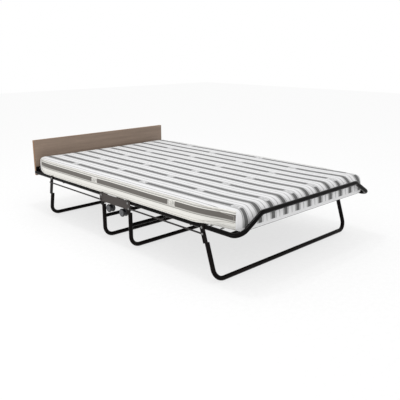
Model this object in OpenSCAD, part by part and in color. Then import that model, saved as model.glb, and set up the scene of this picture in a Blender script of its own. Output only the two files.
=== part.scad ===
// Folding rollaway bed: two hinged frame halves on a castor base, four tube legs, headboard, mattress.
// The origin is on the floor, midway between the two fold pivots. +Y points to the headboard, +Z up.

/* [Frame] */
// Distance between the centre lines of the two side rails
rail_gap = 1200; // [1000:10:1400]
// Height of the side rail centre line above the floor
rail_z = 282; // [260:1:320]
// Distance from the origin to the centre line of the foot bar
foot_y = 993; // [960:1:1000]
// Outer diameter of the frame and leg tubes
tube_d = 25; // [22:0.5:28]
// Wall thickness of the tubes
tube_wall = 1.5; // [1:0.1:2]
// Distance from the origin to each frame pivot
pivot_y = 135; // [130:1:145]

/* [Foot loop] */
// Height of the centre line of the foot bar
loop_z = 376; // [340:1:400]
// Slope of the diagonal sides of the loop
loop_slope = 30; // [25:1:45]
// Bend radius where a side rail turns into the loop
loop_corner_r = 55; // [40:1:80]
// Bend radius where the loop turns level
loop_top_r = 40; // [30:1:60]

/* [Legs] */
// Distance from the origin to the head leg pivot
head_leg_y = 752; // [700:1:780]
// Outward lean of the head leg
head_leg_lean = 12; // [10:1:18]
// Distance from the origin to the foot leg pivot
foot_leg_y = 752; // [700:1:780]
// Outward lean of the foot leg
foot_leg_lean = 18; // [12:1:20]
// Bend radius between a leg upright and its floor bar
leg_bend_r = 60; // [45:1:80]
// Height of the cross bars of the centre legs
cross_bar_z = 143; // [120:1:165]

/* [Mattress] */
// Width of the mattress at its ends
mattress_w = 1144; // [1000:2:1160]
// How far each side of the mattress bulges out over the rail between its ends
mattress_bulge = 26; // [0:1:26]
// Height of the top of the mattress above the floor
mattress_top = 397; // [370:1:397]
// Distance from the origin to the head end of the mattress
mattress_head_y = 985; // [940:1:990]
// Distance from the origin to the foot end of the mattress
mattress_foot_y = 973; // [940:1:976]

/* [Headboard] */
// Distance from the origin to the back of the headboard
board_back = 1027; // [1027:1:1060]
// Width of the headboard
board_w = 1200; // [1100:10:1220]
// Height of the lower edge of the headboard
board_low = 257; // [240:1:275]
// Height of the upper edge of the headboard
board_high = 514; // [450:1:600]
// Thickness of the headboard
board_t = 18; // [16:1:22]

/* [Castors] */
// Wheel diameter of the castors
wheel_d = 50; // [40:1:52]
// Height of the castor axles above the floor
axle_z = 200; // [195:1:203]
// Horizontal distance from a castor's stem to its axle
castor_trail = 22; // [15:1:23]

/* [Hidden] */
$fn = 48;

// Layers across the width, from the rails outward: leg lugs, hinge plates, link rods
rail_x = rail_gap / 2;
tube_r = tube_d / 2;
lug_t = 3;
lug_x = rail_x + tube_r + 0.8;
lug_out = lug_x + lug_t;
leg_x = lug_out - tube_r;
plate_t = 3;
plate_x = lug_out + 0.6;
plate_out = plate_x + plate_t;
rod_t = 3;
rod_w = 9;
rod_x = plate_out + 0.7;

// Pivots: shaft radius, hole radius and the small flat rivet heads
pivot_r = 5;
hole_r = 5.3;
head_r = 6.5;
head_t = 3.2;
nut_r = 8.5;
nut_t = 6;
pin_r = 3.5;
pin_hole_r = 3.7;
pin_head_r = 6;
pin_head_t = 2;

// Link rod pins lie outward of and below the pivot that they serve
pin_out = 12;
pin_down = 31;

// Hinge plates and the nuts inside the rails at their pivots
nut_x = rail_x - tube_r - 2 - nut_t;
plate_end_y = pivot_y + 20;
plate_low = rail_z - 40;
plate_high = rail_z + 12;
flange_y = 112;
flange_in = rail_x - 38;
base_tube_y = 44;
base_tube_z = rail_z - 20;

// Frame halves
rail_start_y = pivot_y - 18;
cap_t = 3;
head_rail_end = 1000;
cross_d = 19;
inner_cross_y = pivot_y + 60;
under_cross_y = 640;
under_cross_z = rail_z - 13;
head_end_cross_y = 965;
foot_end_cross_y = 928;
// Hairline gap at the butt joints of the level foot bar
loop_butt = 0.02;

// Sprung deck
deck_w = 1090;
deck_z = rail_z + 5;
deck_t = 2;
hem_w = 22;
hem_t = 4;
deck_start_y = inner_cross_y + 42;
head_deck_end = head_end_cross_y - 44;
foot_deck_end = foot_end_cross_y - 44;
spring_r = 4.5;
wire_r = 1;
spring_body = 22;
side_springs = 9;
end_springs = 9;

// Mattress
mattress_low = rail_z + 10;
mattress_split = pivot_y + 20;
mattress_gap = 2;
mattress_corner_r = 45;
bulge_low = rail_z + tube_r + 1;
bulge_rise = 80;
bulge_end = 930;

// Headboard
board_front = board_back - board_t;
edging_t = 1;
bracket_t = 3;
bracket_x = rail_x - tube_r - 0.5 - bracket_t;
bracket_out = rail_x - 2;
bracket_in = rail_x - 40;
bracket_high = rail_z + 38;
bracket_low = rail_z - 17;
bracket_side_y = 945;
screw_rows = [rail_z - 5, rail_z + 25];

// Legs
foot_lug_len = 84;
head_lug_len = 122;
centre_lug_len = 66;
lug_w = 34;
lug_overlap = 22;
bar_d = 22;

// Castors
castor_x = rail_x - 15;
castor_y = 68;
stem_r = 5.5;
stem_hole_r = 5.6;
socket_r = 9;
socket_h = 18;
web_t = 8;
wheel_in = 5;
wheel_out = 20;
disc_t = 2.5;
disc_r = wheel_d / 2 - 5;
axle_r = 3;
axle_hole_r = 3.1;

// Repeats its children on the left and the right side
module both_sides() {
  children();
  mirror([1, 0, 0]) children();
}

// Turns the head half's geometry into the foot half's
module to_foot() {
  mirror([0, 1, 0]) children();
}

module ring(d, wall) {
  difference() {
    circle(d = d);
    circle(d = d - 2 * wall);
  }
}

// Straight hollow tube that starts at the origin and runs along +Z
module tube(length, d = tube_d) {
  linear_extrude(length) ring(d, tube_wall);
}

// Hollow tube across the bed, centred on X = 0
module tube_across(length, d = tube_d) {
  translate([-length / 2, 0, 0]) rotate([0, 90, 0]) tube(length, d);
}

// Hollow bend around the origin in the XY plane, from +X through the angle; spin turns the tube's seam
module bend(radius, angle, d = tube_d, spin = 0) {
  rotate_extrude(angle = angle, $fn = 96) translate([radius, 0]) rotate(spin) ring(d, tube_wall);
}

// Solid round bar along +X from x0 to x1 at a place in Y and Z
module pin_along_x(x0, x1, r, y, z) {
  translate([x0, y, z]) rotate([0, 90, 0]) cylinder(h = x1 - x0, r = r);
}

// Flat washer or plate boss along X with a hole
module washer_along_x(x0, x1, r, inner_r, y, z) {
  translate([x0, y, z]) rotate([0, 90, 0]) linear_extrude(x1 - x0) ring(2 * r, r - inner_r);
}

// Bolt along X with a low round head outside and a nut inside, through everything between the two
module bolt_along_x(inner_x, outer_x, y, z) {
  pin_along_x(inner_x, outer_x, pivot_r, y, z);
  pin_along_x(outer_x, outer_x + head_t, head_r, y, z);
  translate([inner_x, y, z]) rotate([0, 90, 0]) cylinder(h = nut_t, r = nut_r, $fn = 6);
}

// ---- base ----

// Outline of a hinge plate in the YZ plane, with cut lower corners
module plate_outline() {
  cut = 8;
  polygon([
    [-plate_end_y + cut, plate_low], [plate_end_y - cut, plate_low],
    [plate_end_y, plate_low + cut], [plate_end_y, plate_high - cut / 2],
    [plate_end_y - cut / 2, plate_high], [-plate_end_y + cut / 2, plate_high],
    [-plate_end_y, plate_high - cut / 2], [-plate_end_y, plate_low + cut]
  ]);
}

// Pressed steel side plate with an inward flange that carries two castors
module hinge_plate() {
  color("#4f4742") difference() {
    union() {
      translate([plate_x, 0, 0]) rotate([90, 0, 90]) linear_extrude(plate_t) plate_outline();
      translate([flange_in, -flange_y, plate_low]) cube([plate_out - flange_in, 2 * flange_y, plate_t]);
    }
    for (s = [-1, 1]) {
      pin_along_x(plate_x - 1, plate_out + 1, pivot_r + 0.05, s * pivot_y, rail_z);
      pin_along_x(plate_x - 1, plate_out + 1, pin_r + 0.05, s * (pivot_y + pin_out), rail_z - pin_down);
      translate([castor_x, s * castor_y, plate_low - 1]) cylinder(h = plate_t + 2, r = stem_hole_r);
    }
  }
}

module left_hinge_plate() {
  mirror([1, 0, 0]) hinge_plate();
}

module right_hinge_plate() {
  hinge_plate();
}

// Two tubes that tie the hinge plates together
module base_cross_tubes() {
  color("#1b1718") for (s = [-1, 1])
    translate([0, s * base_tube_y, base_tube_z]) tube_across(2 * plate_x);
}

module frame_pivot_bolts() {
  color("#8c8c8c") both_sides() for (s = [-1, 1])
    bolt_along_x(nut_x, plate_out, s * pivot_y, rail_z);
}

// Nylon washers between the frame rails and the nuts of their pivot bolts
module pivot_spacers() {
  color("#d8d6cf") both_sides() for (s = [-1, 1])
    washer_along_x(nut_x + nut_t, rail_x - tube_r - 0.3, 10, hole_r, s * pivot_y, rail_z);
}

// Rivets that hold the inner ends of the link rods
module rod_pin(inner_x, y, z) {
  pin_along_x(inner_x, rod_x + rod_t + 0.4, pin_r, y, z);
  pin_along_x(rod_x + rod_t + 0.4, rod_x + rod_t + 0.4 + pin_head_t, pin_head_r, y, z);
}

module rod_anchor_pins() {
  color("#8c8c8c") both_sides() for (s = [-1, 1]) rod_pin(plate_x, s * (pivot_y + pin_out), rail_z - pin_down);
}

// Sleeves on the flanges that hold the castor stems
module castor_sockets() {
  color("#2a2526") both_sides() for (s = [-1, 1])
    translate([castor_x, s * castor_y, plate_low + plate_t]) linear_extrude(socket_h)
      ring(2 * socket_r, socket_r - stem_hole_r);
}

// ---- mattress ----

// Slab between two distances from the middle: its outer corners are rounded on one end, and its sides
// bulge out above the rails
module mattress_slab(y0, y1, corner_r) {
  half = mattress_w / 2;
  color("#e9e7e2") translate([0, 0, mattress_low]) linear_extrude(mattress_top - mattress_low) union() {
    translate([-half, y0]) square([mattress_w, y1 - corner_r - y0]);
    translate([-half + corner_r, y0]) square([mattress_w - 2 * corner_r, y1 - y0]);
    for (s = [-1, 1]) translate([s * (half - corner_r), y1 - corner_r]) circle(r = corner_r);
  }
  color("#e9e7e2") both_sides() translate([0, 0, bulge_low]) linear_extrude(mattress_top - bulge_low)
    polygon([[half - 1, y0], [half, y0], [half + mattress_bulge, y0 + bulge_rise],
      [half + mattress_bulge, bulge_end - bulge_rise], [half, bulge_end], [half - 1, bulge_end]]);
}

module mattress_middle() {
  reach = mattress_split - mattress_gap;
  color("#e9e7e2") translate([-mattress_w / 2, -reach, mattress_low])
    cube([mattress_w, 2 * reach, mattress_top - mattress_low]);
}

module mattress_head() {
  mattress_slab(mattress_split, mattress_head_y, mattress_corner_r);
}

module mattress_foot() {
  to_foot() mattress_slab(mattress_split, mattress_foot_y, mattress_corner_r);
}

// ---- frame halves ----

// Holes for the frame pivot and the leg pivot, through both rails
module rail_holes(leg_y) {
  for (s = [-1, 1]) {
    pin_along_x(s * rail_x - tube_d, s * rail_x + tube_d, hole_r, pivot_y, rail_z);
    pin_along_x(s * rail_x - tube_d, s * rail_x + tube_d, pivot_r + 0.05, leg_y, rail_z);
  }
}

module head_side_rails() {
  color("#1b1718") difference() {
    both_sides() translate([rail_x, rail_start_y, rail_z])
      rotate([-90, 0, 0]) tube(head_rail_end - rail_start_y);
    rail_holes(head_leg_y);
  }
}

// Side rails that run into the raised foot loop, drawn toward +Y. Every piece of a side is placed in the
// tilted frame of its corner bend, with the tubes' seams in line.
module loop_tube() {
  rise = loop_z - rail_z;
  top_cut = loop_top_r * tan(loop_slope / 2);
  slope_len = rise / sin(loop_slope) - loop_corner_r - top_cut;
  bar_half = rail_x - rise / tan(loop_slope) - top_cut;
  rail_len = foot_y - loop_corner_r - rail_start_y;
  both_sides() translate([rail_x, foot_y - loop_corner_r, rail_z]) rotate([0, loop_slope, 0]) {
    rotate([90, 0, 0]) rotate([0, 0, 90]) tube(rail_len);
    translate([-loop_corner_r, 0, 0]) {
      bend(loop_corner_r, 90, tube_d, 90);
      translate([0, loop_corner_r, 0]) {
        rotate([0, -90, 0]) tube(slope_len);
        translate([-slope_len, 0, -loop_top_r]) rotate([90, 0, 0]) rotate([0, 0, 90])
          bend(loop_top_r, loop_slope);
      }
    }
  }
  translate([0, foot_y, loop_z]) tube_across(2 * (bar_half - loop_butt));
}

module foot_loop_frame() {
  color("#1b1718") to_foot() difference() {
    loop_tube();
    rail_holes(foot_leg_y);
  }
}

// Inner cross tube, a lower tube under the deck, and the tube that the deck's end springs hook on
module cross_tubes(end_y) {
  color("#1b1718") {
    for (y = [inner_cross_y, end_y])
      translate([0, y, rail_z]) tube_across(2 * (rail_x - tube_r) + 1.2, cross_d);
    translate([0, under_cross_y, under_cross_z]) tube_across(2 * (rail_x - tube_r) + 6, cross_d);
  }
}

module head_cross_tubes() {
  difference() {
    cross_tubes(head_end_cross_y);
    rail_clearance();
  }
}

module foot_cross_tubes() {
  to_foot() difference() {
    cross_tubes(foot_end_cross_y);
    rail_clearance();
  }
}

// Solid the size of the side rails, which notches the ends of the cross tubes
module rail_clearance() {
  both_sides() translate([rail_x, rail_start_y, rail_z]) rotate([-90, 0, 0])
    cylinder(h = head_rail_end, d = tube_d);
}

// Plastic plugs in the open ends of the rails
module rail_cap(y, direction) {
  both_sides() translate([rail_x, y, rail_z]) rotate([-90 * direction, 0, 0]) {
    cylinder(h = cap_t, d = tube_d);
    translate([0, 0, -10]) cylinder(h = 10, d = tube_d - 2 * tube_wall);
  }
}

module head_rail_caps() {
  color("#101010") {
    rail_cap(rail_start_y, -1);
    rail_cap(head_rail_end, 1);
  }
}

module foot_rail_caps() {
  color("#101010") to_foot() rail_cap(rail_start_y, -1);
}

// Woven deck with a thicker hem all round
module deck(end_y) {
  depth = end_y - deck_start_y;
  color("#2b2b2e") translate([-deck_w / 2, deck_start_y, deck_z - hem_t / 2]) difference() {
    cube([deck_w, depth, hem_t]);
    translate([hem_w, hem_w, -1]) cube([deck_w - 2 * hem_w, depth - 2 * hem_w, 1 + (hem_t - deck_t) / 2]);
    translate([hem_w, hem_w, (hem_t + deck_t) / 2])
      cube([deck_w - 2 * hem_w, depth - 2 * hem_w, hem_t]);
  }
}

module head_deck() {
  deck(head_deck_end);
}

module foot_deck() {
  to_foot() deck(foot_deck_end);
}

// One tension spring along +X with a straight wire at each end, spanning the given length
module spring(span) {
  rotate([0, 90, 0]) {
    cylinder(h = span, r = wire_r, $fn = 16);
    translate([0, 0, (span - spring_body) / 2]) cylinder(h = spring_body, r = spring_r, $fn = 24);
  }
}

// Springs from the deck's hem to the rails and to the two cross tubes
module deck_springs(end_y, cross_y) {
  clear = 0.4;
  side_span = rail_x - tube_r - deck_w / 2 - 2 * clear;
  start_span = deck_start_y - inner_cross_y - cross_d / 2 - 2 * clear;
  end_span = cross_y - cross_d / 2 - end_y - 2 * clear;
  step_y = (end_y - deck_start_y) / side_springs;
  step_x = deck_w / end_springs;
  color("#9a9a9a") {
    both_sides() for (i = [0 : side_springs - 1])
      translate([deck_w / 2 + clear, deck_start_y + (i + 0.5) * step_y, deck_z]) spring(side_span);
    for (i = [0 : end_springs - 1]) {
      x = -deck_w / 2 + (i + 0.5) * step_x;
      translate([x, deck_start_y - clear, deck_z]) rotate([0, 0, -90]) spring(start_span);
      translate([x, end_y + clear, deck_z]) rotate([0, 0, 90]) spring(end_span);
    }
  }
}

module head_deck_springs() {
  deck_springs(head_deck_end, head_end_cross_y);
}

module foot_deck_springs() {
  to_foot() deck_springs(foot_deck_end, foot_end_cross_y);
}

module head_leg_pivot_bolts() {
  color("#8c8c8c") both_sides() bolt_along_x(rail_x - tube_r - nut_t, lug_out, head_leg_y, rail_z);
}

module foot_leg_pivot_bolts() {
  color("#8c8c8c") both_sides() bolt_along_x(rail_x - tube_r - nut_t, lug_out, -foot_leg_y, rail_z);
}

// ---- headboard ----

module headboard() {
  color("#8c7664") translate([-board_w / 2 + edging_t, board_front, board_low + edging_t])
    cube([board_w - 2 * edging_t, board_t, board_high - board_low - 2 * edging_t]);
}

// Thin banding glued round the four edges of the board
module headboard_edging() {
  color("#7c5a3c") translate([0, board_front, 0]) difference() {
    translate([-board_w / 2, 0, board_low]) cube([board_w, board_t, board_high - board_low]);
    translate([-board_w / 2 + edging_t, -1, board_low + edging_t])
      cube([board_w - 2 * edging_t, board_t + 2, board_high - board_low - 2 * edging_t]);
  }
}

// Angle brackets between the ends of the side rails and the front face of the headboard
module headboard_brackets() {
  color("#1b1718") both_sides() difference() {
    union() {
      translate([bracket_in, board_front - bracket_t, bracket_low])
        cube([bracket_out - bracket_in, bracket_t, bracket_high - bracket_low]);
      translate([bracket_x, bracket_side_y, bracket_low])
        cube([bracket_t, board_front - bracket_side_y, 2 * (rail_z - bracket_low)]);
      translate([bracket_x + bracket_t, head_rail_end + cap_t, rail_z - 6])
        cube([8, board_front - bracket_t - head_rail_end - cap_t, 12]);
    }
    pin_along_x(bracket_x - 1, bracket_x + bracket_t + 1, cross_d / 2 + 0.3, head_end_cross_y, rail_z);
    for (z = screw_rows) translate([bracket_in + 12, board_front + 1, z]) rotate([90, 0, 0])
      cylinder(h = bracket_t + 2, r = 2.6);
  }
}

// Domed screws through the brackets, ending just inside the clearance behind the bracket
module headboard_screws() {
  color("#8c8c8c") both_sides() for (z = screw_rows)
    translate([bracket_in + 12, board_front, z]) rotate([90, 0, 0]) {
      cylinder(h = bracket_t, r = 2.5);
      translate([0, 0, bracket_t]) cylinder(h = 2.4, r = 5);
    }
}

// ---- legs ----

// Floor bar and bends of a U-shaped leg whose pivot is at the origin, hanging along -Z
module leg_bow(x, drop) {
  translate([0, 0, -drop]) tube_across(2 * (x - leg_bend_r));
  both_sides() translate([x - leg_bend_r, 0, leg_bend_r - drop]) rotate([90, 0, 0])
    rotate([0, 0, -90]) bend(leg_bend_r, 90);
}

// U-shaped leg: the upper end of each upright is pressed flat into a lug that lies beside the rail
module pressed_leg(lean, lug_len) {
  drop = (rail_z - tube_r) / cos(lean);
  lug_end = lug_len + lug_overlap;
  rotate([lean, 0, 0]) {
    leg_bow(leg_x, drop);
    both_sides() difference() {
      union() {
        translate([leg_x, 0, leg_bend_r - drop]) tube(drop - leg_bend_r - lug_len);
        translate([leg_x, 0, -lug_len]) cylinder(h = 2, d = tube_d);
        pin_along_x(lug_x, lug_out, lug_w / 2, 0, 0);
        translate([lug_x, -lug_w / 2, -lug_len]) cube([lug_t, lug_w, lug_len]);
        translate([lug_x, -tube_r / 2, -lug_end]) cube([lug_t / 2, tube_r, lug_overlap]);
      }
      pin_along_x(lug_x - 1, lug_out + 1, hole_r, 0, 0);
      children();
    }
  }
}

// Head or foot leg, with a hole in each lug for the pin of its link rod
module end_leg(lean, lug_len) {
  color("#2a2223") pressed_leg(lean, lug_len)
    rotate([-lean, 0, 0]) pin_along_x(lug_x - 1, lug_out + 1, pin_r + 0.05, pin_out, -pin_down);
}

module head_leg_tube() {
  translate([0, head_leg_y, rail_z]) end_leg(head_leg_lean, head_lug_len);
}

module foot_leg_tube() {
  to_foot() translate([0, foot_leg_y, rail_z]) end_leg(foot_leg_lean, foot_lug_len);
}

module head_leg_rod_pins() {
  color("#8c8c8c") both_sides() rod_pin(lug_x, head_leg_y + pin_out, rail_z - pin_down);
}

module foot_leg_rod_pins() {
  color("#8c8c8c") to_foot() both_sides() rod_pin(lug_x, foot_leg_y + pin_out, rail_z - pin_down);
}

// Centre leg: hangs straight down from the frame pivot
module centre_leg_tube() {
  color("#2a2223") translate([0, pivot_y, rail_z]) pressed_leg(0, centre_lug_len);
}

// Cross bar between the uprights, notched to their round sides
module centre_leg_bar() {
  color("#1b1718") difference() {
    translate([0, pivot_y, cross_bar_z]) tube_across(2 * leg_x - tube_d + 8, bar_d);
    both_sides() translate([leg_x, pivot_y, leg_bend_r]) cylinder(h = rail_z, d = tube_d);
  }
}

module centre_leg_head_tube() {
  centre_leg_tube();
}

module centre_leg_head_bar() {
  centre_leg_bar();
}

module centre_leg_foot_tube() {
  to_foot() centre_leg_tube();
}

module centre_leg_foot_bar() {
  to_foot() centre_leg_bar();
}

// ---- link rods ----

// Flat bar with round ends between the plate pin and the leg pin
module link_rod(leg_y) {
  y0 = pivot_y + pin_out;
  y1 = leg_y + pin_out;
  z = rail_z - pin_down;
  color("#3a3334") both_sides() difference() {
    union() {
      translate([rod_x, y0, z - rod_w / 2]) cube([rod_t, y1 - y0, rod_w]);
      for (y = [y0, y1]) pin_along_x(rod_x, rod_x + rod_t, pin_head_r, y, z);
    }
    for (y = [y0, y1]) pin_along_x(rod_x - 1, rod_x + rod_t + 1, pin_hole_r, y, z);
  }
}

module head_link_rods() {
  link_rod(head_leg_y);
}

module foot_link_rods() {
  to_foot() link_rod(foot_leg_y);
}

// ---- castors ----

// Places a castor's pieces at one corner of the base, trailing toward the head end
module at_castor(side, end) {
  translate([side * castor_x, end * castor_y, 0]) children();
}

module castor_stem() {
  color("#8c8c8c") {
    translate([0, 0, plate_low - 6]) cylinder(h = 26, r = stem_r);
    translate([0, 0, plate_low - 4]) cylinder(h = 3.7, r = socket_r);
  }
}

// Plastic body between the two wheels, with the boss that holds the stem and the axle
module castor_hood() {
  boss_low = axle_z + wheel_d / 2 + 1;
  color("#19191b") difference() {
    union() {
      translate([0, 0, boss_low]) cylinder(h = plate_low - 4 - boss_low, r = socket_r);
      translate([-web_t / 2, 0, 0]) rotate([90, 0, 90]) linear_extrude(web_t) union() {
        translate([castor_trail, axle_z]) circle(r = disc_r);
        translate([-socket_r, axle_z + 6]) square([castor_trail + socket_r, boss_low - axle_z - 4]);
      }
      pin_along_x(-wheel_out + 1, wheel_out - 1, axle_r, castor_trail, axle_z);
    }
    translate([0, 0, plate_low - 6]) cylinder(h = 10, r = stem_r);
  }
}

// Two barrel-shaped wheels, each with a recess for its disc
module castor_wheels() {
  r = wheel_d / 2;
  edge = 2;
  color("#17171a") translate([0, castor_trail, axle_z]) both_sides() rotate([0, 90, 0])
    rotate_extrude($fn = 72) polygon([
      [axle_hole_r, wheel_in], [r - edge, wheel_in], [r, wheel_in + edge], [r, wheel_out - 2 * edge],
      [r - edge, wheel_out], [disc_r, wheel_out], [disc_r, wheel_out - disc_t],
      [axle_hole_r, wheel_out - disc_t]
    ]);
}

module castor_discs() {
  color("#8e9093") translate([0, castor_trail, axle_z]) both_sides() rotate([0, 90, 0])
    translate([0, 0, wheel_out - disc_t]) linear_extrude(disc_t)
      ring(2 * disc_r - 0.2, disc_r - axle_hole_r);
}

module castor_left_head_stem() { at_castor(-1, 1) castor_stem(); }
module castor_left_head_hood() { at_castor(-1, 1) castor_hood(); }
module castor_left_head_wheels() { at_castor(-1, 1) castor_wheels(); }
module castor_left_head_discs() { at_castor(-1, 1) castor_discs(); }
module castor_left_foot_stem() { at_castor(-1, -1) castor_stem(); }
module castor_left_foot_hood() { at_castor(-1, -1) castor_hood(); }
module castor_left_foot_wheels() { at_castor(-1, -1) castor_wheels(); }
module castor_left_foot_discs() { at_castor(-1, -1) castor_discs(); }
module castor_right_head_stem() { at_castor(1, 1) castor_stem(); }
module castor_right_head_hood() { at_castor(1, 1) castor_hood(); }
module castor_right_head_wheels() { at_castor(1, 1) castor_wheels(); }
module castor_right_head_discs() { at_castor(1, 1) castor_discs(); }
module castor_right_foot_stem() { at_castor(1, -1) castor_stem(); }
module castor_right_foot_hood() { at_castor(1, -1) castor_hood(); }
module castor_right_foot_wheels() { at_castor(1, -1) castor_wheels(); }
module castor_right_foot_discs() { at_castor(1, -1) castor_discs(); }

left_hinge_plate();
right_hinge_plate();
base_cross_tubes();
frame_pivot_bolts();
pivot_spacers();
rod_anchor_pins();
castor_sockets();
mattress_middle();
head_side_rails();
head_cross_tubes();
head_rail_caps();
head_deck();
head_deck_springs();
head_leg_pivot_bolts();
headboard();
headboard_edging();
headboard_brackets();
headboard_screws();
mattress_head();
foot_loop_frame();
foot_cross_tubes();
foot_rail_caps();
foot_deck();
foot_deck_springs();
foot_leg_pivot_bolts();
mattress_foot();
head_leg_tube();
head_leg_rod_pins();
foot_leg_tube();
foot_leg_rod_pins();
centre_leg_head_tube();
centre_leg_head_bar();
centre_leg_foot_tube();
centre_leg_foot_bar();
head_link_rods();
foot_link_rods();
castor_left_head_stem();
castor_left_head_hood();
castor_left_head_wheels();
castor_left_head_discs();
castor_left_foot_stem();
castor_left_foot_hood();
castor_left_foot_wheels();
castor_left_foot_discs();
castor_right_head_stem();
castor_right_head_hood();
castor_right_head_wheels();
castor_right_head_discs();
castor_right_foot_stem();
castor_right_foot_hood();
castor_right_foot_wheels();
castor_right_foot_discs();
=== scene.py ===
import math

import bmesh
import bpy
import numpy as np
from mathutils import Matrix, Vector, noise


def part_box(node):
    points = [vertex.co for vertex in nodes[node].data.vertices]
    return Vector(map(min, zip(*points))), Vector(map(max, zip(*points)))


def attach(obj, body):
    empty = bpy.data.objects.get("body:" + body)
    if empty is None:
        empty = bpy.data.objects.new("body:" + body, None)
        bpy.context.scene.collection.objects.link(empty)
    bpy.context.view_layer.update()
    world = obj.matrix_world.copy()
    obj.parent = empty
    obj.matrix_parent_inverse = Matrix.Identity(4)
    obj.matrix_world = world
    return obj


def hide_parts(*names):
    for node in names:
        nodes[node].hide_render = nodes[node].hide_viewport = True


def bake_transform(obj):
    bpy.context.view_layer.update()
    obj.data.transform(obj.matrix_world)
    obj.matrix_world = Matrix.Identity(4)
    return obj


# A folding rollaway bed in metres: +Y to the headboard, +Z up, the floor at Z = 0.
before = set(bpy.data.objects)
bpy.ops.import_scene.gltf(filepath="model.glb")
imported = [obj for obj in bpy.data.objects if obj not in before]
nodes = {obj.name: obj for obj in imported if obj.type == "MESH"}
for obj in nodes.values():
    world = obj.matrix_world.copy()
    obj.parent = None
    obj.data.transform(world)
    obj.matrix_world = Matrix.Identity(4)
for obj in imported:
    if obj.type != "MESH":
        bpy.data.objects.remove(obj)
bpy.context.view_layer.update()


# ---- measures from the frame ----

def low(node):
    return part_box(node)[0]


def high(node):
    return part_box(node)[1]


# The visual mattress's sides stand out a little past the CAD ones
SIDE_SWELL = 0.005
HALF_W = high("mattress_head").x + SIDE_SWELL
END_W = high("mattress_middle").x
TOP_Z = high("mattress_head").z
BOTTOM_Z = low("mattress_head").z
HEAD_Y = high("mattress_head").y
FOOT_Y = low("mattress_foot").y


# ---- mesh helpers ----

SMOOTH_ANGLE = math.radians(40)


def link(name, mesh):
    """Puts a mesh in the scene as a new object."""
    piece = bpy.data.objects.new(name, mesh)
    bpy.context.scene.collection.objects.link(piece)
    return piece


def shade_smooth(mesh, angle=SMOOTH_ANGLE):
    """Shades a mesh smooth, with sharp edges where it turns by more than the angle."""
    for polygon in mesh.polygons:
        polygon.use_smooth = True
    mesh.set_sharp_from_angle(angle=angle)


def from_bmesh(name, bm, angle=SMOOTH_ANGLE):
    """Turns a finished bmesh into a smooth-shaded object."""
    mesh = bpy.data.meshes.new(name)
    bm.to_mesh(mesh)
    bm.free()
    shade_smooth(mesh, angle)
    return link(name, mesh)


def bridge(bm, r0, r1):
    """Joins two closed rows of points with a band of quads."""
    count = len(r0)
    for k in range(count):
        bm.faces.new((r0[k], r0[(k + 1) % count], r1[(k + 1) % count], r1[k]))


def tube_along(bm, points, radius, sides, closed_ends=True):
    """Sweeps a round section along points, with frames carried from point to point."""
    points = [Vector(p) for p in points]
    tangents = []
    for i in range(len(points)):
        a, b = points[max(i - 1, 0)], points[min(i + 1, len(points) - 1)]
        tangents.append((b - a).normalized())
    normal = tangents[0].orthogonal().normalized()
    rings = []
    for point, tangent in zip(points, tangents):
        normal = (normal - tangent * normal.dot(tangent)).normalized()
        side = tangent.cross(normal)
        ring = []
        for k in range(sides):
            a = 2 * math.pi * k / sides
            ring.append(bm.verts.new(point + (normal * math.cos(a) + side * math.sin(a)) * radius))
        rings.append(ring)
    for r0, r1 in zip(rings, rings[1:]):
        bridge(bm, r0, r1)
    if closed_ends:
        bm.faces.new(list(reversed(rings[0])))
        bm.faces.new(rings[-1])


# ---- material helpers ----

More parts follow.
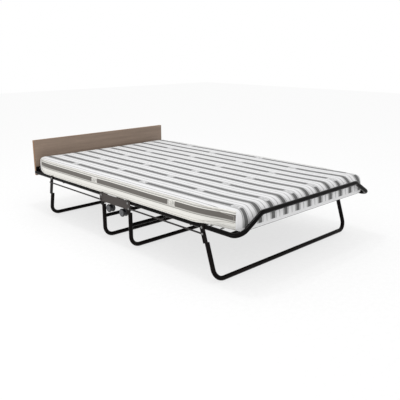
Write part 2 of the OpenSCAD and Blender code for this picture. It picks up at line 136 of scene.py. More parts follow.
class Nodes:
    """Builds one procedural material on a Principled shader."""

    def __init__(self, name):
        self.material = bpy.data.materials.new(name)
        self.material.use_nodes = True
        self.tree = self.material.node_tree
        self.tree.nodes.clear()
        output = self.tree.nodes.new("ShaderNodeOutputMaterial")
        self.shader = self.tree.nodes.new("ShaderNodeBsdfPrincipled")
        self.wire(self.shader.outputs[0], output.inputs["Surface"])

    def wire(self, source, target):
        self.tree.links.new(source, target)

    def feed(self, socket, value):
        if isinstance(value, bpy.types.NodeSocket):
            self.wire(value, socket)
        else:
            socket.default_value = value

    def set(self, **values):
        for key, value in values.items():
            self.feed(self.shader.inputs[key.replace("_", " ")], value)

    def place(self):
        return self.tree.nodes.new("ShaderNodeTexCoord").outputs["Object"]

    def attribute(self, name, vector=False):
        node = self.tree.nodes.new("ShaderNodeAttribute")
        node.attribute_name = name
        return node.outputs["Vector" if vector else "Fac"]

    def scaled(self, vector, scale):
        node = self.tree.nodes.new("ShaderNodeVectorMath")
        node.operation = "MULTIPLY"
        self.wire(vector, node.inputs[0])
        node.inputs[1].default_value = scale
        return node.outputs[0]

    def split(self, vector):
        node = self.tree.nodes.new("ShaderNodeSeparateXYZ")
        self.wire(vector, node.inputs[0])
        return node.outputs

    def join(self, x, y, z):
        node = self.tree.nodes.new("ShaderNodeCombineXYZ")
        for socket, value in zip(node.inputs, (x, y, z)):
            self.feed(socket, value)
        return node.outputs[0]

    def math(self, operation, a, b=0.0):
        node = self.tree.nodes.new("ShaderNodeMath")
        node.operation = operation
        for socket, value in zip(node.inputs, (a, b)):
            self.feed(socket, value)
        return node.outputs[0]

    def noise(self, vector, scale, detail=3.0, roughness=0.5):
        node = self.tree.nodes.new("ShaderNodeTexNoise")
        self.wire(vector, node.inputs["Vector"])
        node.inputs["Scale"].default_value = scale
        node.inputs["Detail"].default_value = detail
        node.inputs["Roughness"].default_value = roughness
        return node.outputs["Fac"]

    def ramp(self, value, *stops):
        node = self.tree.nodes.new("ShaderNodeValToRGB")
        elements = node.color_ramp.elements
        while len(elements) < len(stops):
            elements.new(0.5)
        for element, (position, color) in zip(elements, stops):
            element.position = position
            element.color = (*color, 1.0) if isinstance(color, tuple) else (color, color, color, 1.0)
        self.wire(value, node.inputs[0])
        return node.outputs["Color"]

    def mix(self, amount, a, b):
        node = self.tree.nodes.new("ShaderNodeMix")
        node.data_type = "RGBA"
        colors = [s for s in node.inputs if s.type == "RGBA"]
        self.feed(node.inputs[0], amount)
        for socket, value in zip(colors, (a, b)):
            self.feed(socket, (*value, 1.0) if isinstance(value, tuple) else value)
        return [s for s in node.outputs if s.type == "RGBA"][0]

    def remap(self, value, from_low, from_high, to_low, to_high):
        node = self.tree.nodes.new("ShaderNodeMapRange")
        self.wire(value, node.inputs[0])
        for socket, number in zip(node.inputs[1:5], (from_low, from_high, to_low, to_high)):
            socket.default_value = number
        return node.outputs[0]

    def bump(self, height, strength, distance):
        node = self.tree.nodes.new("ShaderNodeBump")
        node.inputs["Strength"].default_value = strength
        node.inputs["Distance"].default_value = distance
        self.wire(height, node.inputs["Height"])
        return node.outputs[0]

    def normal(self, socket):
        self.wire(socket, self.shader.inputs["Normal"])
        return self


def pulse(n, value, centre, half, soft):
    """1 inside centre +- half, 0 outside, with a soft edge, all in the units of value."""
    distance = n.math("ABSOLUTE", n.math("SUBTRACT", value, centre))
    return n.remap(distance, half - soft, half + soft, 1.0, 0.0)


# ---- camera, floor and light ----

SKY = 1.0
FLOOR_GLOW = 0.68
FLOOR_REACH = 12.0


def aim(thing, target):
    """Turns a light to face a point."""
    thing.rotation_euler = (Vector(target) - thing.location).to_track_quat("-Z", "Y").to_euler()


def make_camera():
    """Stands off the near foot corner and looks a little down along the bed."""
    heading, down = -43.974, 15.556
    data = bpy.data.cameras.new("camera")
    data.lens = 48.38
    data.sensor_width = 36.0
    camera = bpy.data.objects.new("camera", data)
    camera.location = (-2.4101, -2.5982, 1.141)
    camera.rotation_euler = (math.radians(90 - down), 0.0, math.radians(heading))
    bpy.context.scene.collection.objects.link(camera)
    bpy.context.scene.camera = camera


def make_floor():
    """A pale floor with a glow of its own, so that it runs into the white behind it."""
    bm = bmesh.new()
    bmesh.ops.create_grid(bm, x_segments=12, y_segments=12, size=FLOOR_REACH)
    floor = from_bmesh("studio_floor", bm)
    n = Nodes("studio_floor")
    grain = n.noise(n.place(), 40.0, 2.0)
    n.set(Base_Color=n.ramp(grain, (0.3, 0.27), (0.7, 0.29)), Roughness=1.0, Specular_IOR_Level=0.0)
    n.set(Emission_Color=(1.0, 1.0, 1.0, 1.0), Emission_Strength=FLOOR_GLOW)
    floor.data.materials.append(n.material)


def add_light(name, place, target, size, power):
    data = bpy.data.lights.new(name, "AREA")
    data.shape = "RECTANGLE"
    data.size, data.size_y = size
    data.energy = power
    light = bpy.data.objects.new(name, data)
    light.location = place
    bpy.context.scene.collection.objects.link(light)
    aim(light, target)


def make_light():
    """An even white studio, with a small key light above and two soft fills."""
    scene = bpy.context.scene
    scene.view_settings.view_transform = "Standard"
    world = bpy.data.worlds.new("white_studio")
    world.use_nodes = True
    background = world.node_tree.nodes["Background"]
    background.inputs["Color"].default_value = (1.0, 1.0, 1.0, 1.0)
    background.inputs["Strength"].default_value = SKY
    scene.world = world
    middle = (0.0, 0.0, 0.35)
    add_light("key", (-0.5, 0.1, 3.7), middle, (0.55, 0.55), 26.0)
    add_light("side_fill", (-3.4, 0.2, 1.1), middle, (1.4, 0.8), 16.0)
    add_light("foot_fill", (-2.0, -3.8, 1.6), middle, (0.5, 0.5), 3.0)


# ---- materials ----

def powder_coat(name, dark, light, roughness, level):
    """Stoved paint on steel: a faint orange peel, and a drift in gloss from handling."""
    n = Nodes(name)
    place = n.place()
    drift = n.noise(place, 9.0, 3.0)
    peel = n.noise(place, 420.0, 2.0)
    n.set(Base_Color=n.ramp(drift, (0.35, dark), (0.7, light)),
          Roughness=n.remap(drift, 0.3, 0.7, roughness - 0.05, roughness + 0.09),
          Specular_IOR_Level=level)
    return n.normal(n.bump(peel, 0.12, 0.0004)).material


def zinc(name, tone):
    """Bright zinc plate with a soft streaky grain."""
    n = Nodes(name)
    place = n.place()
    streak = n.noise(n.scaled(place, (300.0, 900.0, 900.0)), 1.0, 3.0)
    patch = n.noise(place, 60.0, 3.0)
    n.set(Base_Color=n.mix(patch, (tone, tone, tone * 1.02), (tone * 0.7, tone * 0.7, tone * 0.66)),
          Metallic=1.0, Roughness=n.remap(streak, 0.3, 0.7, 0.28, 0.46))
    return n.normal(n.bump(streak, 0.1, 0.0002)).material


def plastic(name, tone, roughness=0.42):
    """Moulded plastic with a fine spark-eroded grain."""
    n = Nodes(name)
    place = n.place()
    grain = n.noise(place, 1500.0, 2.0)
    scuff = n.noise(place, 55.0, 4.0, 0.65)
    light = tuple(min(c * 1.35 + 0.004, 1.0) for c in tone)
    n.set(Base_Color=n.mix(n.remap(scuff, 0.5, 0.75, 0.0, 0.8), tone, light),
          Roughness=n.remap(scuff, 0.3, 0.75, roughness - 0.06, roughness + 0.14))
    return n.normal(n.bump(grain, 0.14, 0.0002)).material


def laminate():
    """Taupe wood print with fine grain along the board."""
    n = Nodes("board_laminate")
    place = n.place()
    wander = n.noise(n.scaled(place, (1.6, 8.0, 8.0)), 1.0, 2.0)
    x, y, z = n.split(place)
    bent = n.join(x, y, n.math("ADD", z, n.math("MULTIPLY", wander, 0.018)))
    fibre = n.noise(n.scaled(bent, (7.0, 90.0, 420.0)), 1.0, 4.0, 0.62)
    board = n.noise(n.scaled(bent, (1.1, 20.0, 42.0)), 1.0, 3.0, 0.55)
    pore = n.noise(n.scaled(bent, (36.0, 400.0, 1500.0)), 1.0, 2.0)
    wood = n.ramp(board, (0.32, (0.205, 0.150, 0.112)), (0.72, (0.285, 0.215, 0.165)))
    wood = n.mix(n.remap(fibre, 0.35, 0.7, 0.0, 0.55), wood, (0.165, 0.118, 0.088))
    wood = n.mix(n.remap(pore, 0.62, 0.72, 0.0, 0.45), wood, (0.10, 0.07, 0.05))
    n.set(Base_Color=wood, Roughness=n.remap(fibre, 0.3, 0.7, 0.42, 0.56), Specular_IOR_Level=0.35)
    return n.normal(n.bump(pore, 0.15, 0.0003)).material


def edge_banding():
    """Warmer wood print on the board's edges."""
    n = Nodes("board_edge")
    place = n.place()
    grain = n.noise(n.scaled(place, (14.0, 700.0, 14.0)), 1.0, 3.0)
    n.set(Base_Color=n.ramp(grain, (0.3, (0.19, 0.098, 0.045)), (0.7, (0.29, 0.16, 0.082))), Roughness=0.5)
    return n.normal(n.bump(grain, 0.1, 0.0002)).material


def woven_deck():
    """Black woven polypropylene: flat warp and weft tapes, one over one. The raised crossings carry a painted
    sheen, a lighter tone on the same black tape.
    """
    n = Nodes("deck_fabric")
    x, y, _ = n.split(n.place())
    tape = 0.0028
    warp = n.math("SINE", n.math("MULTIPLY", x, math.pi / tape))
    weft = n.math("SINE", n.math("MULTIPLY", y, math.pi / tape))
    over = n.math("MULTIPLY", warp, weft)
    tone = n.noise(n.scaled(n.place(), (300.0, 12.0, 12.0)), 1.0, 3.0)
    # Painted sheen: where the tapes rise at a crossing (over high) the black is mixed lighter, standing in
    # for light caught on the raised weave
    n.set(Base_Color=n.mix(n.remap(over, -0.6, 0.6, 0.0, 0.6), (0.018, 0.018, 0.02), (0.045, 0.045, 0.05)),
          Roughness=n.remap(tone, 0.3, 0.7, 0.5, 0.72), Sheen_Weight=0.08)
    return n.normal(n.bump(over, 0.35, 0.0005)).material


def cloth_layout(n, place):
    """Whether a point is on a side border (1) or the top cloth (0), its height from the border's band,
    and its distance across the stripes. The top cloth also wraps over both ends."""
    cut = 0.0003
    x, y, z = n.split(place)
    out = n.math("SUBTRACT", n.math("ABSOLUTE", x), n.attribute("half_width"))
    above = n.math("SUBTRACT", z, TOP_Z - TOP_EASE)
    side = n.remap(n.math("SUBTRACT", out, above), -cut, cut, 0.0, 1.0)
    from_end = n.math("MINIMUM", n.math("SUBTRACT", y, FOOT_Y), n.math("SUBTRACT", HEAD_Y, y))
    between_seams = n.remap(from_end, SEAM_INSET - cut, SEAM_INSET + cut, 0.0, 1.0)
    border = n.math("MULTIPLY", side, between_seams)
    along_side = n.math("SUBTRACT", z, BORDER_BAND_Z)
    across = n.math("ADD", n.math("MULTIPLY", x, n.math("SUBTRACT", 1.0, border)),
                    n.math("MULTIPLY", along_side, border))
    return border, along_side, across


def stripe_mask(n, border, along_side, off):
    """The wide band, and the whole pattern: the band with fine lines beside it and one line midway."""
    line_out, second_out, shade_out, low_line_z = 0.0072, 0.0122, 0.0022, -0.046
    beside = n.math("ABSOLUTE", off)
    band = pulse(n, off, 0.0, BAND_HALF, 0.0008)
    line = pulse(n, beside, BAND_HALF + line_out, 0.002, 0.0006)
    shade = pulse(n, off, -BAND_HALF - shade_out, 0.0018, 0.0006)
    midway = pulse(n, beside, STRIPE / 2, 0.0019, 0.0006)
    second = pulse(n, off, BAND_HALF + second_out, 0.0011, 0.0005)
    low_line = pulse(n, along_side, low_line_z, 0.0014, 0.0005)
    on_border = n.math("MULTIPLY", border, n.math("MAXIMUM", second, low_line))
    mask = band
    for part, depth in ((line, 0.85), (shade, 0.5), (midway, 0.8), (on_border, 0.65)):
        mask = n.math("MAXIMUM", mask, n.math("MULTIPLY", part, depth))
    return band, mask


def break_mask(n, y, border, turns):
    """1 in the plain woven breaks of the bands, at a fixed repeat and staggered from band to band."""
    odd = n.math("MODULO", n.math("ABSOLUTE", n.math("FLOOR", turns)), 2.0)
    start = n.math("ADD", n.math("MULTIPLY", odd, BREAK_REPEAT / 2), n.math("MULTIPLY", border, BORDER_SHIFT))
    step = n.math("DIVIDE", n.math("SUBTRACT", n.math("SUBTRACT", y, BREAK_START), start), BREAK_REPEAT)
    place = n.math("SUBTRACT", n.math("FRACT", n.math("ADD", step, 0.5)), 0.5)
    return pulse(n, n.math("MULTIPLY", place, BREAK_REPEAT), 0.0, BREAK_HALF, 0.002)


def ticking():
    """Woven stripes: a wide dark band every STRIPE metres, on a ground with fine pin lines.

    The side borders are the same cloth turned lengthwise, with a plain hem at the bottom."""
    n = Nodes("ticking")
    place = n.attribute("rest_co", vector=True)
    _, y, z = n.split(place)
    border, along_side, across = cloth_layout(n, place)
    turns = n.math("ADD", n.math("DIVIDE", across, STRIPE), 0.5)
    off = n.math("MULTIPLY", n.math("SUBTRACT", n.math("FRACT", turns), 0.5), STRIPE)
    band, mask = stripe_mask(n, border, along_side, off)
    gap = n.math("MULTIPLY", break_mask(n, y, border, turns), band)

    slub = n.noise(n.scaled(place, (260.0, 22.0, 260.0)), 1.0, 3.0)
    cross = n.noise(n.scaled(place, (30.0, 900.0, 900.0)), 1.0, 2.0)
    fleck = n.noise(n.scaled(place, (110.0, 70.0, 110.0)), 1.0, 2.0)
    pin = n.math("SINE", n.math("MULTIPLY", across, 2 * math.pi / PIN_LINES))
    ground = n.mix(border, (0.72, 0.72, 0.73), (0.74, 0.73, 0.69))
    ground = n.mix(n.remap(pin, 0.2, 1.0, 0.0, 0.16), ground, (0.45, 0.44, 0.42))
    ground = n.mix(n.remap(slub, 0.35, 0.7, 0.0, 0.16), ground, (0.52, 0.51, 0.48))
    dark = n.ramp(cross, (0.3, (0.085, 0.086, 0.086)), (0.7, (0.15, 0.15, 0.149)))
    dark = n.mix(border, dark, (0.125, 0.116, 0.105))
    mask = n.math("SUBTRACT", mask, n.math("MULTIPLY", gap, n.remap(fleck, 0.4, 0.6, 0.45, 0.85)))
    hem = n.remap(z, BOTTOM_Z + PLAIN_HEM - 0.001, BOTTOM_Z + PLAIN_HEM + 0.001, 0.0, 1.0)
    mask = n.math("MULTIPLY", n.math("MAXIMUM", mask, 0.0), hem)
    n.set(Base_Color=n.mix(mask, ground, dark), Roughness=n.remap(slub, 0.3, 0.7, 0.78, 0.92),
          Specular_IOR_Level=0.25, Sheen_Weight=0.1)
    weave = n.math("ADD", n.math("MULTIPLY", slub, 0.7), n.math("MULTIPLY", cross, 0.5))
    height = n.math("SUBTRACT", weave, n.math("MULTIPLY", mask, 0.25))
    return n.normal(n.bump(height, 0.3, 0.0008)).material


def seam_thread_and_shade():
    """Twisted thread of the stitched seams: the thread's own twist, with the shade of the seams' grooves
    painted into its tone, which is darker than the off-white thread.
    """
    n = Nodes("seam_thread_and_shade")
    place = n.place()
    twist = n.noise(n.scaled(place, (900.0, 260.0, 900.0)), 1.0, 2.0)
    # Painted shade: the grey-brown tone stands for the shadow in the seam grooves; the thread itself is
    # off-white
    n.set(Base_Color=n.ramp(twist, (0.3, (0.33, 0.31, 0.28)), (0.7, (0.52, 0.50, 0.46))), Roughness=0.85)
    return n.normal(n.bump(twist, 0.4, 0.0006)).material


# ---- mattress ----

# Cloth: the stripes' repeat, half the dark band, the pin lines, the plain breaks and the plain hem
STRIPE = 0.105
BAND_HALF = 0.0143
PIN_LINES = 0.0105
BORDER_BAND_Z = BOTTOM_Z + 0.065
BREAK_REPEAT = 0.735
BREAK_START = 0.2
BREAK_HALF = 0.03
BORDER_SHIFT = 0.03
PLAIN_HEM = 0.019

# Shape: room left for the swell, and the radii of the seams, end rolls, corners and lower edges
SIDE_EASE = 0.002
TOP_EASE = 0.003
SEAM_R = 0.014
ROLL_R = 0.062
HEAD_ROLL_R = 0.03
CORNER_R = 0.045
HEAD_CORNER_R = 0.016
UNDER_R = 0.006
# How far along it takes the foot's corners to become the head's, and the side's seam the end's roll
HEAD_RUN = 0.4
ROLL_RUN = 0.1
# The bottom rises by LIP over the rails, and its edge hangs out and down over their outside
LIP = 0.0035
LIP_RUN = 0.012
OVERHANG = 0.011
OVERHANG_DROP = 0.006
CROWN = 0.006
WAVINESS = 0.0022
SWELL_CAP = 0.0065
SEAM_INSET = 0.035
BEAD = 0.0011
BEAD_PROUD = 0.4
# The lattice: the depth of its core, and its rows at an end and along a half
CORE = 0.052
END_ROWS = 4
HALF_ROWS = 68


def smoothstep(t):
    """Eases from 0 to 1 as t goes from 0 to 1, and stays level outside."""
    t = np.clip(t, 0.0, 1.0)
    return t * t * (3 - 2 * t)


def rounded(a, b, radius):
    """Joins two distances from a corner's faces into the distance from the rounded corner."""
    a, b = a + radius, b + radius
    return np.minimum(np.maximum(a, b), 0) + np.hypot(np.maximum(a, 0), np.maximum(b, 0)) - radius


def half_width(y):
    """The sides bulge out over the rails between the tucked-in ends."""
    past_head, head_run, foot_start, foot_run = 0.06, 0.2, 0.045, 0.26
    head_fade = smoothstep((HEAD_Y + past_head - y) / head_run)
    foot_fade = smoothstep((y - FOOT_Y - foot_start) / foot_run)
    return END_W - SIDE_EASE + (HALF_W - END_W) * head_fade * foot_fade


def mattress_field(p):
    """Distance outside the mattress: rounded corners in plan, a tight top edge along the sides, and a
    wide roll where the top cloth goes over the ends. Over the rails the bottom is a little higher."""
    side = np.abs(p[:, 0]) - half_width(p[:, 1])
    end = np.maximum(p[:, 1] - HEAD_Y, FOOT_Y - p[:, 1])
    at_head = smoothstep(p[:, 1] / HEAD_RUN)
    plan = rounded(side, end, CORNER_R + (HEAD_CORNER_R - CORNER_R) * at_head)
    at_end = smoothstep((end - side) / ROLL_RUN + 0.5)
    roll = at_end * (ROLL_R - SEAM_R + (HEAD_ROLL_R - ROLL_R) * at_head)
    top = rounded(plan, p[:, 2] - (TOP_Z - TOP_EASE), SEAM_R + roll)
    bottom = BOTTOM_Z + LIP * smoothstep((np.abs(p[:, 0]) - END_W) / LIP_RUN)
    return np.maximum(top, rounded(plan, bottom - p[:, 2], UNDER_R))


def box_lattice(xs, ys, zs):
    """Points and quads over the six faces of a box, with the rows at the given places."""
    index, points, quads = {}, [], []

    def at(i, j, k):
        if (i, j, k) not in index:
            index[i, j, k] = len(points)
            points.append((xs[i], ys[j], zs[k]))
        return index[i, j, k]

    nx, ny, nz = len(xs) - 1, len(ys) - 1, len(zs) - 1
    for i in range(nx):
        for j in range(ny):
            quads.append((at(i, j, nz), at(i + 1, j, nz), at(i + 1, j + 1, nz), at(i, j + 1, nz)))
            quads.append((at(i, j, 0), at(i, j + 1, 0), at(i + 1, j + 1, 0), at(i + 1, j, 0)))
    for k in range(nz):
        for j in range(ny):
            quads.append((at(nx, j, k), at(nx, j + 1, k), at(nx, j + 1, k + 1), at(nx, j, k + 1)))
            quads.append((at(0, j, k), at(0, j, k + 1), at(0, j + 1, k + 1), at(0, j + 1, k)))
        for i in range(nx):
            quads.append((at(i, 0, k), at(i + 1, 0, k), at(i + 1, 0, k + 1), at(i, 0, k + 1)))
            quads.append((at(i, ny, k), at(i, ny, k + 1), at(i + 1, ny, k + 1), at(i + 1, ny, k)))
    return index, np.array(points), quads


def onto_mattress(points):
    """Moves the points of the box straight out from the mattress's core onto its surface."""
    furthest, halvings = 1.2, 34
    core_low = np.array([-HALF_W + CORE, FOOT_Y + CORE, BOTTOM_Z + CORE])
    core_high = np.array([HALF_W - CORE, HEAD_Y - CORE, TOP_Z - CORE])
    start = np.clip(points, core_low, core_high)
    ray = points - start
    near, far = np.zeros(len(points)), np.full(len(points), furthest)
    for _ in range(halvings):
        middle = (near + far) / 2
        inside = mattress_field(start + ray * middle[:, None]) < 0
        near, far = np.where(inside, middle, near), np.where(inside, far, middle)
    return start + ray * near[:, None]


def coordinates(mesh):
    """A mesh's points as an array."""
    co = np.empty(len(mesh.vertices) * 3, np.float32)
    mesh.vertices.foreach_get("co", co)
    return co.reshape(-1, 3).astype(float)


def swell(piece, held, pressure):
    """Cloth simulation under inner pressure. A point's travel eases off towards SWELL_CAP."""
    frames = 20
    rest = coordinates(piece.data)
    group = piece.vertex_groups.new(name="held")
    group.add([int(i) for i in held], 1.0, "REPLACE")
    cloth = piece.modifiers.new("cloth", "CLOTH")
    settings = cloth.settings
    settings.quality = 4
    settings.mass = 0.3
    settings.tension_stiffness = settings.compression_stiffness = 18.0
    settings.shear_stiffness = 8.0
    settings.bending_stiffness = 0.6
    settings.use_pressure = True
    settings.uniform_pressure_force = pressure
    settings.vertex_group_mass = "held"
    settings.effector_weights.gravity = 0.0
    cloth.collision_settings.use_collision = False
    scene = bpy.context.scene
    for number in range(1, frames + 1):
        scene.frame_set(number)
    graph = bpy.context.evaluated_depsgraph_get()
    travel = coordinates(piece.evaluated_get(graph).data) - rest
    piece.modifiers.remove(cloth)
    piece.vertex_groups.clear()
    scene.frame_set(1)
    length = np.linalg.norm(travel, axis=1, keepdims=True) + 1e-9
    return rest + travel / length * SWELL_CAP * np.tanh(length / SWELL_CAP)


def lie(points):
    """Slow unevenness of a used foam pad, and a fuller foot end. None of it reaches the bottom, which
    lies on the deck."""
    lift = np.clip((points[:, 2] - BOTTOM_Z) / (TOP_Z - BOTTOM_Z), 0, 1)
    across, along, crown_start, crown_run = 4.0, 3.0, 0.32, 0.34
    waves = np.array([noise.noise((p[0] * across, p[1] * along, 7.0)) for p in points])
    moved = points.copy()
    crown = CROWN * smoothstep((FOOT_Y + crown_start - points[:, 1]) / crown_run)
    moved[:, 2] += (WAVINESS * waves + crown) * lift
    return moved


def hang(points):
    """The lower edge of each bulged side hangs a little over the outside of its rail."""
    side = np.abs(points[:, 0])
    bulged = np.clip((half_width(points[:, 1]) - END_W) / (HALF_W - END_W), 0, 1)
    low_start, low_run = 0.034, 0.03
    out_start, out_run, down_start, down_run = 0.025, 0.012, 0.0105, 0.0067
    near_edge = smoothstep((BOTTOM_Z + low_start - points[:, 2]) / low_run) * bulged
    out = smoothstep((side - HALF_W + out_start) / out_run)
    down = smoothstep((side - HALF_W + down_start) / down_run)
    moved = points.copy()
    moved[:, 0] += np.sign(points[:, 0]) * OVERHANG * near_edge * out
    moved[:, 2] -= OVERHANG_DROP * near_edge * down
    return moved


def mattress_rows():
    """Where the lattice's rows lie along each axis: closer at the lower edges and at the end seams."""
    column, columns, layers = 0.0075, 79, 10
    inner = np.linspace(2 * column - HALF_W, HALF_W - 2 * column, columns)
    xs = np.concatenate([[-HALF_W, column - HALF_W], inner, [HALF_W - column, HALF_W]])
    ys = np.concatenate([
        np.linspace(FOOT_Y, FOOT_Y + SEAM_INSET, END_ROWS)[:-1],
        np.linspace(FOOT_Y + SEAM_INSET, 0, HALF_ROWS)[:-1],
        np.linspace(0, HEAD_Y - SEAM_INSET, HALF_ROWS)[:-1],
        np.linspace(HEAD_Y - SEAM_INSET, HEAD_Y, END_ROWS)])
    return xs, ys, np.linspace(BOTTOM_Z, TOP_Z, layers)


def seam_rows(index, xs, ys, zs):
    """Rows of points under the stitched seams: along both edges of each side border and up its ends."""
    last_x, last_y, last_z = len(xs) - 1, len(ys) - 1, len(zs) - 1
    foot_row, head_row = END_ROWS - 1, last_y - END_ROWS + 1
    middle_row = int(np.argmin(np.abs(ys)))
    seams = []
    for i in (0, last_x):
        for a, b in ((foot_row, middle_row), (middle_row, head_row)):
            seams.append([index[i, j, last_z] for j in range(a, b + 1)])
            seams.append([index[i, j, 1] for j in range(a, b + 1)])
        for j in (foot_row, head_row):
            seams.append([index[i, j, k] for k in range(1, last_z + 1)])
    return seams


def make_stitching(half, paths, thread):
    """A fine bead along each seam of one half of the mattress."""
    bm = bmesh.new()
    for path in paths:
        if (path[:, 1].mean() > 0) == (half == "head"):
            tube_along(bm, path, BEAD, 6)
    stitching = from_bmesh(f"mattress_seams_{half}", bm)
    stitching.data.materials.append(thread)
    bend_with_fold(stitching)


def make_pad(half, whole, material):
    """One half of the mattress, closed where it meets the other at the fold."""
    keep = 1 if half == "head" else -1
    bm = bmesh.new()
    bm.from_mesh(whole)
    gone = [f for f in bm.faces if f.calc_center_median().y * keep < 0]
    bmesh.ops.delete(bm, geom=gone, context="FACES")
    rim = [e for e in bm.edges if e.is_boundary]
    bmesh.ops.edgeloop_fill(bm, edges=rim)
    bmesh.ops.recalc_face_normals(bm, faces=bm.faces)
    pad = from_bmesh(f"mattress_{half}_half", bm, math.radians(50))
    pad.data.materials.clear()
    pad.data.materials.append(material)
    bend_with_fold(pad)
    return pad


def make_mattress(material, thread):
    """One form for the whole mattress, swollen between its seams and then parted at the fold."""
    xs, ys, zs = mattress_rows()
    index, points, quads = box_lattice(xs, ys, zs)
    rest = hang(onto_mattress(points))
    mesh = bpy.data.meshes.new("mattress")
    mesh.from_pydata([tuple(p) for p in rest], [], quads)
    stored = mesh.attributes.new("rest_co", "FLOAT_VECTOR", "POINT")
    stored.data.foreach_set("vector", rest.astype(np.float32).ravel())
    stored = mesh.attributes.new("half_width", "FLOAT", "POINT")
    stored.data.foreach_set("value", half_width(rest[:, 1]).astype(np.float32))
    piece = link("mattress", mesh)

    seams = seam_rows(index, xs, ys, zs)
    held = {v for seam in seams for v in seam}
    held |= {v for (i, j, k), v in index.items() if k == 0}
    moved = lie(swell(piece, sorted(held), pressure=4.0))
    mesh.vertices.foreach_set("co", moved.astype(np.float32).ravel())
    mesh.update()
    normals = np.array([v.normal[:] for v in mesh.vertices])
    paths = [moved[seam] + normals[seam] * BEAD * BEAD_PROUD for seam in seams]

    smooth = piece.modifiers.new("smooth", "SUBSURF")
    smooth.levels = smooth.render_levels = 1
    graph = bpy.context.evaluated_depsgraph_get()
    whole = bpy.data.meshes.new_from_object(piece.evaluated_get(graph))
    bpy.data.objects.remove(piece)
    for half, body in (("head", "head_frame"), ("foot", "foot_frame")):
        make_stitching(half, paths, thread)
        make_pad(half, whole, material)
    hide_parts("mattress_head", "mattress_middle")
    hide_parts("mattress_foot")


def bend_with_fold(piece):
    """Bakes the piece's transform into its mesh."""
    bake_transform(piece)


# ---- deck and springs ----

def solids_of(node):
    """The lowest and highest corners of each separate solid of a CAD node."""
    bm = bmesh.new()
    bm.from_mesh(nodes[node].data)
    bmesh.ops.remove_doubles(bm, verts=bm.verts, dist=1e-6)
    todo, boxes = set(bm.verts), []
    while todo:
        stack, found = [todo.pop()], []
        while stack:
            v = stack.pop()
            found.append(v.co[:])
            for e in v.link_edges:
                w = e.other_vert(v)
                if w in todo:
                    todo.remove(w)
                    stack.append(w)
        co = np.array(found)
        boxes.append((Vector(co.min(0)), Vector(co.max(0))))
    bm.free()
    return sorted(boxes, key=lambda b: tuple(round(c, 4) for c in b[0]))


def make_springs(half, material):
    """Close-wound tension springs with a hook at each end, one for each CAD spring."""
    turns, steps, wire, radius, body = 10, 10, 0.0009, 0.0034, 0.022
    hook, dip = 0.002, 0.0006
    bm = bmesh.new()
    for a, b in solids_of(f"{half}_deck_springs"):
        centre, size = (a + b) / 2, b - a
        along = Vector((1, 0, 0)) if size.x > size.y else Vector((0, 1, 0))
        across = Vector((-along.y, along.x, 0))
        span = max(size.x, size.y)
        path = [(-span / 2, 0.0, -dip), (-span / 2 + hook, 0.0, 0.0)]
        for k in range(turns * steps + 1):
            turn = 2 * math.pi * k / steps
            at = -body / 2 + body * k / (turns * steps)
            path.append((at, radius * math.cos(turn), radius * math.sin(turn)))
        path += [(span / 2 - hook, 0.0, 0.0), (span / 2, 0.0, -dip)]
        points = [centre + along * u + across * v + Vector((0, 0, w)) for u, v, w in path]
        tube_along(bm, points, wire, 5)
    springs = from_bmesh(f"{half}_springs", bm)
    springs.data.materials.append(material)
    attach(springs, f"{half}_frame")
    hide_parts(f"{half}_deck_springs")


def at_side(spring):
    """Whether a spring pulls sideways, at a side of the deck, and not lengthwise at an end."""
    a, b = spring
    return b.x - a.x > b.y - a.y


def spacing(springs, axis):
    """First place and pitch of a row of springs along an axis."""
    places = sorted((s[0][axis] + s[1][axis]) / 2 for s in springs)
    return places[0], (places[-1] - places[0]) / (len(places) - 1)


def wave(at, first, pitch):
    """0 at each spring and 1 midway between two."""
    return math.sin(math.pi * (at - first) / pitch) ** 2


def drawn_edge(b, centre_y, side_pitch, end_pitch):
    """Gives a function that draws a point of the flat deck inward where its edge hangs between springs."""
    scallop, sharpness = 0.0022, 8

    def edge(x, y):
        u, v = x / b.x, (y - centre_y) / (b.y - centre_y)
        x -= math.copysign(scallop, x) * abs(u) ** sharpness * wave(y, *side_pitch)
        y -= math.copysign(scallop, v) * abs(v) ** sharpness * wave(x, *end_pitch)
        return x, y

    return edge


def deck_layer(half, name, thickness, edge, cloth, hem_width=None):
    """One layer of the woven deck: the whole sheet, with a slight sag, or only its turned hem."""
    nx, ny, sag, sag_from = 132, 84, 0.003, 0.2
    a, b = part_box(f"{half}_deck")
    middle_z = (a.z + b.z) / 2
    bm = bmesh.new()
    grid = {}
    for i in range(nx + 1):
        for j in range(ny + 1):
            x = a.x + (b.x - a.x) * i / nx
            y = a.y + (b.y - a.y) * j / ny
            depth = min(b.x - abs(x), y - a.y, b.y - y)
            if hem_width is None or depth < hem_width:
                drop = sag * min(1.0, depth / sag_from) if hem_width is None else 0.0
                grid[i, j] = bm.verts.new((*edge(x, y), middle_z - drop))
    for i in range(nx):
        for j in range(ny):
            corners = [(i, j), (i + 1, j), (i + 1, j + 1), (i, j + 1)]
            if all(c in grid for c in corners):
                bm.faces.new([grid[c] for c in corners])
    piece = from_bmesh(name, bm)
    solid = piece.modifiers.new("thickness", "SOLIDIFY")
    solid.thickness = thickness
    solid.offset = 0.0
    soft = piece.modifiers.new("soft", "BEVEL")
    soft.width = thickness * 0.3
    soft.segments = 2
    soft.angle_limit = math.radians(60)
    graph = bpy.context.evaluated_depsgraph_get()
    done = bpy.data.meshes.new_from_object(piece.evaluated_get(graph))
    piece.modifiers.clear()
    piece.data = done
    shade_smooth(done)
    done.materials.clear()
    done.materials.append(cloth)
    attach(piece, f"{half}_frame")
    return piece


